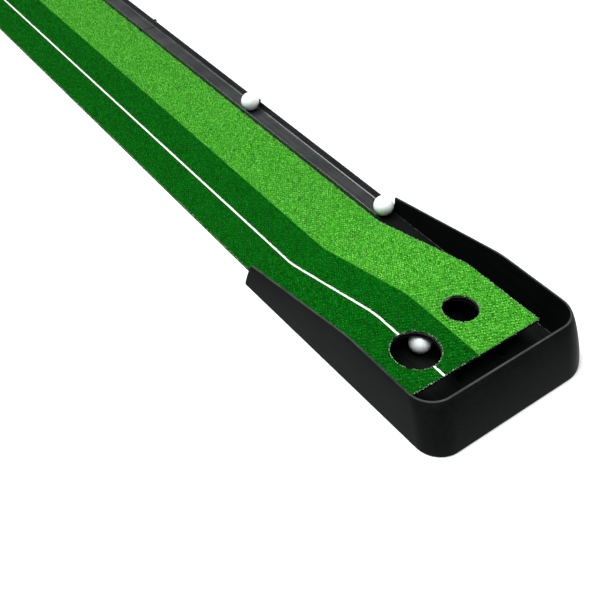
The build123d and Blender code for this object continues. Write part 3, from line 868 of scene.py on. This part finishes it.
@dataclass
class LaidSheet:
    """A closed sheet that follows the turf's path, with the holes cut out of it."""

    name: str
    finish: Finish
    strips: list[Strip]
    lifts: tuple[float, float]
    replaces: str
    cell: float = 0.004
    lump: float = 0.0004
    seed: int = 1
    # A low rise gives a pile's body mostly the root colour, painted shade under the tufts.
    rise: float = 0.22
    rise_spread: float = 0.03
    tones: tuple[float, float] = (0.35, 0.65)

    def strip_mesh(
        self, path: TurfPath, holes: list[CupHole], strip: Strip, rng: np.random.Generator
    ) -> tuple:
        """Meshes one strip.

        Args:
            path: The turf's path.
            holes: Holes to cut.
            strip: The strip to cover.
            rng: Source of the surface's unevenness.

        Returns:
            Vertices, four-cornered faces, and the rise and tone of each vertex.
        """
        steps, rows = round(path.length / self.cell), max(1, round(strip.width / self.cell))
        lengthwise = np.linspace(0, path.length, steps + 1)
        crosswise = np.linspace(strip.low, strip.high, rows + 1)
        along, across = np.meshgrid(lengthwise, crosswise, indexing="ij")
        spot = np.arange(along.size).reshape(along.shape)
        quads = np.stack([spot[:-1, :-1], spot[1:, :-1], spot[1:, 1:], spot[:-1, 1:]], -1).reshape(-1, 4)
        along, across = along.ravel(), across.ravel()
        for hole in holes:
            middle = hole.distance(along[quads].mean(1), across[quads].mean(1))
            quads = quads[middle > hole.radius]
        edges = np.concatenate([quads[:, [i, (i + 1) % 4]] for i in range(4)])
        _, which, count = np.unique(np.sort(edges, 1), axis=0, return_inverse=True, return_counts=True)
        rim = edges[count[which.ravel()] == 1]
        for hole in holes:
            ends = np.unique(rim)
            away = hole.distance(along[ends], across[ends])
            near = ends[away < hole.radius + 1.2 * self.cell]
            pull = hole.radius / hole.distance(along[near], across[near])
            along[near] = hole.along + (along[near] - hole.along) * pull
            across[near] = hole.across + (across[near] - hole.across) * pull
        across = across.clip(strip.low, strip.high)
        used, renumbered = np.unique(quads, return_inverse=True)
        fresh = np.zeros(len(spot.ravel()), int)
        fresh[used] = np.arange(len(used))
        quads, rim = renumbered.reshape(-1, 4), fresh[rim]
        along, across, size = along[used], across[used], len(used)
        uneven = rng.normal(0, 1, size).clip(-2, 2)
        top = path.place(along, across, self.lifts[1] + self.lump * uneven)
        under = path.place(along, across, self.lifts[0])
        sides = np.stack([rim[:, 1], rim[:, 0], rim[:, 0] + size, rim[:, 1] + size], 1)
        faces = np.concatenate([quads, quads[:, ::-1] + size, sides])
        rise = np.concatenate([self.rise + self.rise_spread * uneven, np.zeros(size)])
        tone = np.concatenate([rng.uniform(*self.tones, size), np.full(size, sum(self.tones) / 2)])
        return np.concatenate([top, under]), faces, rise.clip(0, 1), tone

    def build(self, path: TurfPath, holes: list[CupHole], wardrobe: Wardrobe) -> bpy.types.Object:
        """Builds, dresses and mounts the sheet.

        Args:
            path: The turf's path.
            holes: Holes to cut.
            wardrobe: Where its finish comes from.

        Returns:
            The piece.
        """
        rng = np.random.default_rng(self.seed)
        parts = [self.strip_mesh(path, holes, strip, rng) for strip in self.strips]
        starts = np.cumsum([0] + [len(part[0]) for part in parts[:-1]])
        faces = np.concatenate([part[1] + start for part, start in zip(parts, starts)])
        points, rise, tone = (np.concatenate([part[i] for part in parts]) for i in (0, 2, 3))
        piece = new_piece(self.name, points, faces, {"rise": rise, "tone": tone})
        wardrobe.dress(piece, self.finish)
        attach(piece, Body.MAT.value)
        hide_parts(self.replaces)
        return piece


@dataclass(frozen=True)
class BladeStyle:
    """Size and habit of the blades in one kind of tuft."""

    blades: int
    ring: float  # radius of the tuft's root
    reach: tuple[float, float]
    height: float
    height_spread: float
    width: float
    curl: float  # share of its height that a tip gives up by bending over


class BladeSet:
    """Blades of yarn: each is a strip of a root, a middle and a tip."""

    corners = np.array([[0, 1, 3], [0, 3, 2], [2, 3, 4]])

    def __init__(self, style: BladeStyle, rng: np.random.Generator) -> None:
        """Takes the style and the source of variety."""
        self.style, self.rng = style, rng

    def mesh(
        self,
        path: TurfPath,
        roots: np.ndarray,
        turn: np.ndarray,
        tone: np.ndarray,
        base: float | np.ndarray,
    ) -> tuple:
        """Meshes one blade for each root.

        Args:
            path: The turf's path.
            roots: Where each blade starts, along and across the turf.
            turn: The direction in which each blade leans.
            tone: Shade of each blade, 0 to 1.
            base: Height of the roots over the turf's underside.

        Returns:
            Vertices, triangles, the vertices' rise and tone, and their side of the blade.
        """
        style, rng, count = self.style, self.rng, len(roots)
        lean = np.stack([np.cos(turn), np.sin(turn)], 1)
        flat = np.stack([-lean[:, 1], lean[:, 0]], 1)
        reach = rng.uniform(*style.reach, count)[:, None]
        height = (style.height + rng.normal(0, style.height_spread, count)).clip(0.4 * style.height, None)
        droop = style.curl * rng.uniform(0, 1, count)
        twist = rng.uniform(-0.9, 0.9, count)
        half = 0.5 * style.width * rng.uniform(0.75, 1.25, count)
        stations = [
            (roots, 0.0 * height, 0.75),
            (roots + lean * reach * 0.45, 0.72 * height, 1.0),
            (roots + lean * reach, height * (1 - droop), 0.0),
        ]
        points, sides = [], []
        for spot, lift, share in stations:
            for side in (-1, 1) if share else (0,):
                offset = side * share * half
                moved = spot + flat * (offset * np.cos(twist))[:, None]
                points.append(path.place(moved[:, 0], moved[:, 1], base + lift + offset * np.sin(twist)))
                sides.append(side)
        step = len(points)
        vertices = np.stack(points, 1).reshape(-1, 3)
        faces = (np.arange(count)[:, None, None] * step + self.corners).reshape(-1, 3)
        rise = np.tile([0.0, 0.0, 0.65, 0.65, 1.0], count)
        return vertices, faces, rise, np.repeat(tone, step), np.tile(np.array(sides, float), count)


@dataclass
class TuftRows:
    """Rows of tufts over one or more strips, made as several pieces along the turf."""

    name: str
    finish: Finish
    strips: list[Strip]
    base: float
    gauge: float
    stitch: float
    style: BladeStyle
    pieces: int
    edge: float = 0.0006
    scatter: float = 0.30
    shades: tuple[float, float] = (0.20, 0.80)
    shade_spread: float = 0.26
    seed: int = 1

    def stands(self, path: TurfPath, holes: list[CupHole], rng: np.random.Generator) -> np.ndarray:
        """Where the tufts stand, along and across the turf, and the shade of each."""
        found = []
        for strip in self.strips:
            rows = max(1, round((strip.width - 2 * self.edge) / self.gauge))
            steps = round((path.length - 2 * self.edge) / self.stitch)
            step, row = np.meshgrid(np.arange(steps), np.arange(rows), indexing="ij")
            shift = 0.5 * (row % 2)
            along = self.edge + (step + 0.25 + shift) * (path.length - 2 * self.edge) / (steps + 0.5)
            across = strip.low + self.edge + (row + 0.5) * (strip.width - 2 * self.edge) / rows
            along = along + rng.uniform(-1, 1, along.shape) * self.scatter * self.stitch
            across = across + rng.uniform(-1, 1, across.shape) * self.scatter * self.gauge
            across = across.clip(strip.low + self.edge, strip.high - self.edge)
            shade = np.where((step + row // 2) % 2, self.shades[1], self.shades[0])
            shade = (shade + rng.normal(0, self.shade_spread, shade.shape)).clip(0, 1)
            spot = [along.clip(self.edge, path.length - self.edge), across, shade]
            found.append(np.stack(spot, -1).reshape(-1, 3))
        spots = np.concatenate(found)
        for hole in holes:
            spots = spots[hole.distance(spots[:, 0], spots[:, 1]) > hole.radius + self.edge]
        return spots

    def build(self, path: TurfPath, holes: list[CupHole], wardrobe: Wardrobe) -> list[bpy.types.Object]:
        """Builds, dresses and mounts the pieces.

        Args:
            path: The turf's path.
            holes: Holes that the tufts stay out of.
            wardrobe: Where their finish comes from.

        Returns:
            The pieces, from the player's end to the deck.
        """
        rng = np.random.default_rng(self.seed)
        spots = self.stands(path, holes, rng)
        spots = spots[np.argsort(spots[:, 0], kind="stable")]
        made = []
        for number, chosen in enumerate(np.array_split(np.arange(len(spots)), self.pieces), start=1):
            blades = np.repeat(chosen, self.style.blades)
            even = np.tile(np.arange(self.style.blades), len(chosen)) / self.style.blades
            turn = 2 * math.pi * (even + rng.uniform(0, 0.8, len(blades)))
            out = np.stack([np.cos(turn), np.sin(turn)], 1)
            roots = spots[blades, :2] + out * (self.style.ring * rng.uniform(0.2, 1.0, len(blades)))[:, None]
            tone = (spots[blades, 2] + rng.uniform(-0.08, 0.08, len(blades))).clip(0, 1)
            name = f"{self.name}_{number}" if self.pieces > 1 else self.name
            mesh = BladeSet(self.style, rng).mesh(path, roots, turn, tone, self.base)
            made.append(yarn_piece(name, mesh, self.finish, wardrobe))
        log.info("%s: %d tufts", self.name, len(spots))
        return made


@dataclass
class FrayedEdges:
    """Loose ends of yarn and scrim that stick out of the turf's cut edges and hole rims."""

    name: str
    strip: Strip
    style: BladeStyle
    base: tuple[float, float]
    pitch: float = 0.0013
    wander: float = 0.6
    tuck: float = 0.0007
    drift: float = 0.0005
    seed: int = 7

    def rim(self, path: TurfPath, holes: list[CupHole]) -> tuple[np.ndarray, np.ndarray]:
        """Points on every cut edge and the direction that faces out of the turf there."""
        length, low, high = path.length, self.strip.low, self.strip.high
        spots, turns = [], []
        for start, end, turn in [
            ((0, low), (length, low), -math.pi / 2),
            ((0, high), (length, high), math.pi / 2),
            ((0, low), (0, high), math.pi),
            ((length, low), (length, high), 0.0),
        ]:
            count = round(math.dist(start, end) / self.pitch)
            share = (np.arange(count) + 0.5)[:, None] / count
            spots.append(np.array(start) + share * (np.array(end) - np.array(start)))
            turns.append(np.full(count, turn))
        for hole in holes:
            count = round(2 * math.pi * hole.radius / (0.8 * self.pitch))
            turn = np.arange(count) / count * 2 * math.pi
            out = np.stack([np.cos(turn), np.sin(turn)], 1)
            spots.append(np.array([hole.along, hole.across]) + hole.radius * out)
            turns.append(turn + math.pi)
        return np.concatenate(spots), np.concatenate(turns)

    def build(self, path: TurfPath, holes: list[CupHole], wardrobe: Wardrobe) -> bpy.types.Object:
        """Builds, dresses and mounts the loose ends.

        Args:
            path: The turf's path.
            holes: Holes whose rims fray too.
            wardrobe: Where the finish comes from.

        Returns:
            The piece.
        """
        rng = np.random.default_rng(self.seed)
        spots, turn = self.rim(path, holes)
        chosen = rng.integers(0, len(spots), len(spots) * self.style.blades)
        wander = rng.normal(0, self.wander, len(chosen))
        inward = np.stack([np.cos(turn[chosen]), np.sin(turn[chosen])], 1) * -self.tuck
        roots = spots[chosen] + inward + rng.normal(0, self.drift, (len(chosen), 2))
        lift = rng.uniform(*self.base, len(chosen))
        tone = rng.uniform(0, 1, len(chosen))
        mesh = BladeSet(self.style, rng).mesh(path, roots, turn[chosen] + wander, tone, lift)
        return yarn_piece(self.name, mesh, FRAYED_YARN, wardrobe)


@dataclass(frozen=True)
class Pile:
    """One kind of pile: the closed body of its strips and the tufts that stand in it."""

    name: str
    node: str
    finish: Finish
    top: float  # of the body, over the turf's underside
    roots: float  # of the tufts, over the turf's underside
    gauge: float
    stitch: float
    blades: BladeStyle
    pieces: int
    seeds: tuple[int, int]  # for the body and for the tufts
    lump: float = 0.0004
    cell: float = 0.004

    def body(self, strips: list[Strip], under: float) -> LaidSheet:
        """The body, from a height over the turf's underside up to its own top."""
        lifts, name = (under, self.top), f"{self.name}_body"
        return LaidSheet(
            name, self.finish, strips, lifts, self.node, cell=self.cell, lump=self.lump, seed=self.seeds[0]
        )

    def tufts(self, strips: list[Strip]) -> TuftRows:
        """The rows of tufts."""
        return TuftRows(
            f"{self.name}_tufts",
            self.finish,
            strips,
            self.roots,
            self.gauge,
            self.stitch,
            self.blades,
            self.pieces,
            seed=self.seeds[1],
        )


FAST_PILE = Pile(
    "fast_lane",
    "fast_lane_pile",
    FAST_YARN,
    top=0.0042,
    roots=0.0033,
    gauge=0.0042,
    stitch=0.0040,
    blades=BladeStyle(6, 0.0009, (0.0003, 0.0012), 0.0024, 0.0003, 0.0013, 0.35),
    pieces=4,
    seeds=(2, 5),
)
SLOW_PILE = Pile(
    "slow_lane",
    "slow_lane_pile",
    SLOW_YARN,
    top=0.0044,
    roots=0.0034,
    gauge=0.0040,
    stitch=0.0036,
    blades=BladeStyle(7, 0.0009, (0.0004, 0.0016), 0.0030, 0.0005, 0.0014, 0.35),
    pieces=3,
    seeds=(3, 6),
    lump=0.0006,
)
LINE_PILE = Pile(
    "aim_line",
    "aim_line",
    WHITE_YARN,
    top=0.0043,
    roots=0.0034,
    gauge=0.0026,
    stitch=0.0028,
    blades=BladeStyle(8, 0.0007, (0.0001, 0.0008), 0.0026, 0.0003, 0.0012, 0.25),
    pieces=1,
    seeds=(4, 8),
    cell=0.0026,
)


@dataclass
class Turf:
    """The whole turf: backing, two lanes of different pile, aim line and frayed edges."""

    layout: Layout
    line_margin: float = 0.0012
    backing_lump: float = 0.00005
    loose_ends: BladeStyle = BladeStyle(2, 0.0, (0.0004, 0.0016), 0.0017, 0.0006, 0.0008, 0.9)
    loose_heights: tuple[float, float] = (0.0010, 0.0044)

    def build(self, wardrobe: Wardrobe) -> None:
        """Builds every piece of the turf."""
        path, holes = self.layout.path(), self.layout.holes()
        whole, fast, slow, line = (
            Strip(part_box(node)[0].y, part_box(node)[1].y)
            for node in ("turf_backing", "fast_lane_pile", "slow_lane_pile", "aim_line")
        )
        under = self.layout.backing
        backing_piece = LaidSheet(
            "turf_backing_sheet", BACKING_LATEX, [whole], (0.0, under), "turf_backing", lump=self.backing_lump
        ).build(path, holes, wardrobe)
        laid = [
            (FAST_PILE, [Strip(fast.low, line.low), Strip(line.high, fast.high)]),
            (SLOW_PILE, [slow]),
            (LINE_PILE, [Strip(line.low + self.line_margin, line.high - self.line_margin)]),
        ]
        fast_piece, slow_piece, line_piece = (
            pile.body(strips, under).build(path, holes, wardrobe) for pile, strips in laid
        )
        fast_tufts, slow_tufts, line_tufts = (
            pile.tufts(strips).build(path, holes, wardrobe) for pile, strips in laid
        )
        fray = FrayedEdges("turf_edge_fray", whole, self.loose_ends, self.loose_heights).build(
            path, holes, wardrobe
        )


# ---------------------------------------------------------------- golf balls


@dataclass
class GolfBall:
    """A dimpled golf ball in the place of a plain one."""

    number: int
    body: Body
    frequency: int = 6
    fineness: int = 7
    dimple_radius: float = 0.00182
    dimple_depth: float = 0.00030
    dimple_fullness: float = 0.8
    first_seed: int = 20

    def dimple_centres(self) -> np.ndarray:
        """Unit directions of the dimples: the points of a finely divided icosahedron."""
        mesh = bmesh.new()
        bmesh.ops.create_icosphere(mesh, subdivisions=1, radius=1.0)
        faces = [np.array([corner.co for corner in face.verts]) for face in mesh.faces]
        mesh.free()
        shares = [
            (i, j, self.frequency - i - j)
            for i in range(self.frequency + 1)
            for j in range(self.frequency + 1 - i)
        ]
        points = np.concatenate([np.array(shares) @ face for face in faces])
        points /= np.linalg.norm(points, axis=1)[:, None]
        return np.unique(points.round(5), axis=0)

    def build(self, wardrobe: Wardrobe) -> bpy.types.Object:
        """Builds, dresses and mounts the ball.

        Args:
            wardrobe: Where its finish comes from.

        Returns:
            The piece.
        """
        node = f"golf_ball_{self.number}"
        low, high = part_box(node)
        centre, radius = np.array((low + high) / 2), (high - low).z / 2
        mesh = bmesh.new()
        bmesh.ops.create_icosphere(mesh, subdivisions=self.fineness, radius=1.0)
        mesh.verts.ensure_lookup_table()
        points = np.array([vertex.co for vertex in mesh.verts])
        faces = np.array([[vertex.index for vertex in face.verts] for face in mesh.faces])
        mesh.free()
        away = np.arccos((points @ self.dimple_centres().T).max(1).clip(-1, 1)) * radius
        bowl = (1 - (away / self.dimple_radius) ** 2).clip(0, None)
        depth = self.dimple_depth * bowl**self.dimple_fullness
        spin = np.random.default_rng(self.first_seed + self.number).normal(size=(3, 3))
        turned = np.linalg.qr(spin)[0]
        turned *= np.sign(np.linalg.det(turned))
        piece = new_piece(f"{node}_cover", centre + (points * (radius - depth)[:, None]) @ turned.T, faces)
        wardrobe.dress(piece, BALL_COVER)
        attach(piece, self.body.value)
        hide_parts(node)
        return piece


# ---------------------------------------------------------------- moulded parts


@dataclass
class MouldedParts:
    """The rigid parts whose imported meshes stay, with the finish that each one gets."""

    finishes: dict[str, Finish] = field(
        default_factory=lambda: {
            "ramp_tray": TRAY_PLASTIC,
            "ramp_deck": DECK_PLASTIC,
            "deck_screws": SCREW_STEEL,
            "rubber_feet": FOOT_RUBBER,
            "turf_fixing_strips": ADHESIVE_FILM,
            "track_end_stop": CHANNEL_PLASTIC,
            **{f"track_segment_{number}": CHANNEL_PLASTIC for number in range(1, 6)},
        }
    )

    def build(self, wardrobe: Wardrobe) -> None:
        """Dresses every rigid part."""
        for node, finish in self.finishes.items():
            wardrobe.dress(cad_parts[node], finish)


# ---------------------------------------------------------------- studio


@dataclass(frozen=True)
class SkyLight:
    """A wide, far light: where it stands in the sky, how wide it looks and its strength."""

    name: str
    turn: float
    height: float
    spread: float
    strength: float

    def hang(self) -> None:
        """Adds the light to the scene."""
        turn, height = math.radians(self.turn), math.radians(self.height)
        level = math.cos(height)
        away = Vector((math.cos(turn) * level, math.sin(turn) * level, math.sin(height)))
        lamp = bpy.data.lights.new(self.name, "SUN")
        lamp.angle, lamp.energy = math.radians(self.spread), self.strength
        holder = bpy.data.objects.new(self.name, lamp)
        holder.location = away * LAMP_DISTANCE
        holder.rotation_euler = (-away).to_track_quat("-Z", "Y").to_euler()
        bpy.context.scene.collection.objects.link(holder)


@dataclass
class Studio:
    """Floor, light and camera."""

    camera_place: tuple[float, float, float] = (2.0884, -0.8704, 1.2048)
    camera_down: float = 44.03
    camera_heading: float = 143.82
    lens: float = 55.0
    floor_half: float = 30.0
    floor_drop: float = 0.0003
    floor_colour: Colour = (0.62, 0.62, 0.62)
    horizon: float = 0.30
    zenith: float = 0.16
    sky_band: tuple[float, float] = (0.05, 0.55)  # heights between which the light changes
    backdrop: float = 1.0
    lamps: tuple[SkyLight, ...] = (
        SkyLight("key_light", -155.0, 60.0, 34.0, 4.3),
        SkyLight("top_light", -60.0, 84.0, 52.0, 3.9),
    )

    def floor(self) -> None:
        """Lays the plain pale floor."""
        half = self.floor_half
        corners = np.array([[-half, -half], [half, -half], [half, half], [-half, half]])
        points = np.column_stack([corners, np.full(len(corners), -self.floor_drop)])
        piece = new_piece("studio_floor", points, np.array([[0, 1, 2, 3]]))
        colour = opaque(self.floor_colour)
        paint = {"Base_Color": colour, "Roughness": 0.9, "Specular_IOR_Level": 0.0}
        piece.data.materials.append(blank_material("studio_floor_paint", **paint)[0])

    def surroundings(self) -> None:
        """Makes the room: dim light from all round, and a white backdrop behind the floor."""
        world = bpy.data.worlds.new("studio_room")
        bpy.context.scene.world = world
        world.use_nodes = True
        bench = NodeBench(world.node_tree)
        background = next(node for node in world.node_tree.nodes if node.type == "BACKGROUND")
        height = bench.share(bench.put("TexCoord").outputs["Generated"], "Z")
        strength = bench.span(height, *self.sky_band, self.horizon, self.zenith)
        background.inputs["Color"].default_value = (1.0, 1.0, 1.0, 1.0)
        seen = bench.put("LightPath").outputs["Is Camera Ray"]
        shown = bench.span(seen, 0.0, 1.0, 0.0, self.backdrop)
        bench.tree.links.new(bench.reckon("MAXIMUM", strength, shown), background.inputs["Strength"])

    def camera(self) -> None:
        """Sets the camera."""
        data = bpy.data.cameras.new("camera")
        data.lens, data.sensor_width = self.lens, 36.0
        data.clip_start, data.clip_end = 0.05, 100.0
        holder = bpy.data.objects.new("camera", data)
        holder.location = self.camera_place
        tilt = math.radians(90.0 - self.camera_down)
        holder.rotation_euler = (tilt, 0.0, math.radians(self.camera_heading - 90.0))
        bpy.context.scene.collection.objects.link(holder)
        bpy.context.scene.camera = holder

    def build(self) -> None:
        """Builds floor, light and camera."""
        self.floor()
        self.surroundings()
        for lamp in self.lamps:
            lamp.hang()
        self.camera()
        bpy.context.scene.view_settings.view_transform = "Standard"


def main() -> None:
    """Builds the putting mat's looks and the studio round it."""
    logging.basicConfig(level=logging.INFO, format="%(name)s: %(message)s")
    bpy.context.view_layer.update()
    wardrobe = Wardrobe()
    MouldedParts().build(wardrobe)
    Turf(Layout()).build(wardrobe)
    for number, body in enumerate((Body.FRONT_BALL, Body.OUTLET_BALL, Body.CUP_BALL), start=1):
        GolfBall(number, body).build(wardrobe)
    Studio().build()


if __name__ == "__main__":
    main()
